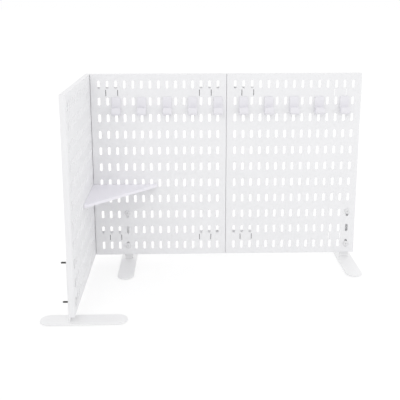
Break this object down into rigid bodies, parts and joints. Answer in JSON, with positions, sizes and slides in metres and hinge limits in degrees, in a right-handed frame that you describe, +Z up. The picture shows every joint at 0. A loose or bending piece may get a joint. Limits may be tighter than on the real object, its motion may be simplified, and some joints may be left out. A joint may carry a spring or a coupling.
{
  "type": "desk divider pegboard",
  "caption": "L-shaped slotted steel desk divider on round-ended feet, with clip-in hooks and a triangular corner shelf.",
  "frame": {"origin": "middle of the whole outline, on the desk under the foot pads", "axes": "+X along the back panels to the free end, +Y away from the user to the back, +Z up"},
  "size_m": [0.716, 0.383, 0.4695],
  "materials": {
    "panel_paint": "smooth white powder coat",
    "foot_paint": "smooth white powder coat",
    "connector_paint": "smooth white powder coat",
    "bolt_paint": "white enamelled head, bare dark thread end",
    "pad_rubber": "soft black rubber",
    "hook_plastic": "satin white plastic",
    "shelf_plastic": "satin white plastic"
  },
  "bodies": {
    "divider": {"side_panel": "panel_paint", "back_left_panel": "panel_paint", "back_right_panel": "panel_paint", "top_seam_connector": "connector_paint", "bottom_seam_connector": "connector_paint", "top_corner_connector": "connector_paint", "bottom_corner_connector": "connector_paint", "left_foot_base": "foot_paint", "left_foot_upright": "foot_paint", "left_foot_pads": "pad_rubber", "right_foot_base": "foot_paint", "right_foot_upright": "foot_paint", "right_foot_pads": "pad_rubber", "side_foot_base": "foot_paint", "side_foot_upright": "foot_paint", "side_foot_pads": "pad_rubber", "foot_bolts": "bolt_paint"},
    "hook_1": {"hook_1": "hook_plastic"},
    "hook_2": {"hook_2": "hook_plastic"},
    "hook_3": {"hook_3": "hook_plastic"},
    "hook_4": {"hook_4": "hook_plastic"},
    "hook_5": {"hook_5": "hook_plastic"},
    "hook_6": {"hook_6": "hook_plastic"},
    "hook_7": {"hook_7": "hook_plastic"},
    "hook_8": {"hook_8": "hook_plastic"},
    "hook_9": {"hook_9": "hook_plastic"},
    "hook_10": {"hook_10": "hook_plastic"},
    "corner_shelf": {"corner_shelf": "shelf_plastic"}
  },
  "joints": [
    {"name": "hook_1_lift", "type": "slide", "parent": "divider", "child": "hook_1", "axis": [0, 0, 1], "range_m": [0, 0.007]},
    {"name": "hook_2_lift", "type": "slide", "parent": "divider", "child": "hook_2", "axis": [0, 0, 1], "range_m": [0, 0.007]},
    {"name": "hook_3_lift", "type": "slide", "parent": "divider", "child": "hook_3", "axis": [0, 0, 1], "range_m": [0, 0.007]},
    {"name": "hook_4_lift", "type": "slide", "parent": "divider", "child": "hook_4", "axis": [0, 0, 1], "range_m": [0, 0.007]},
    {"name": "hook_5_lift", "type": "slide", "parent": "divider", "child": "hook_5", "axis": [0, 0, 1], "range_m": [0, 0.007]},
    {"name": "hook_6_lift", "type": "slide", "parent": "divider", "child": "hook_6", "axis": [0, 0, 1], "range_m": [0, 0.007]},
    {"name": "hook_7_lift", "type": "slide", "parent": "divider", "child": "hook_7", "axis": [0, 0, 1], "range_m": [0, 0.007]},
    {"name": "hook_8_lift", "type": "slide", "parent": "divider", "child": "hook_8", "axis": [0, 0, 1], "range_m": [0, 0.007]},
    {"name": "hook_9_lift", "type": "slide", "parent": "divider", "child": "hook_9", "axis": [0, 0, 1], "range_m": [0, 0.007]},
    {"name": "hook_10_lift", "type": "slide", "parent": "divider", "child": "hook_10", "axis": [0, 0, 1], "range_m": [0, 0.007]},
    {"name": "corner_shelf_lift", "type": "slide", "parent": "divider", "child": "corner_shelf", "axis": [0, 0, 1], "range_m": [0, 0.012]}
  ]
}
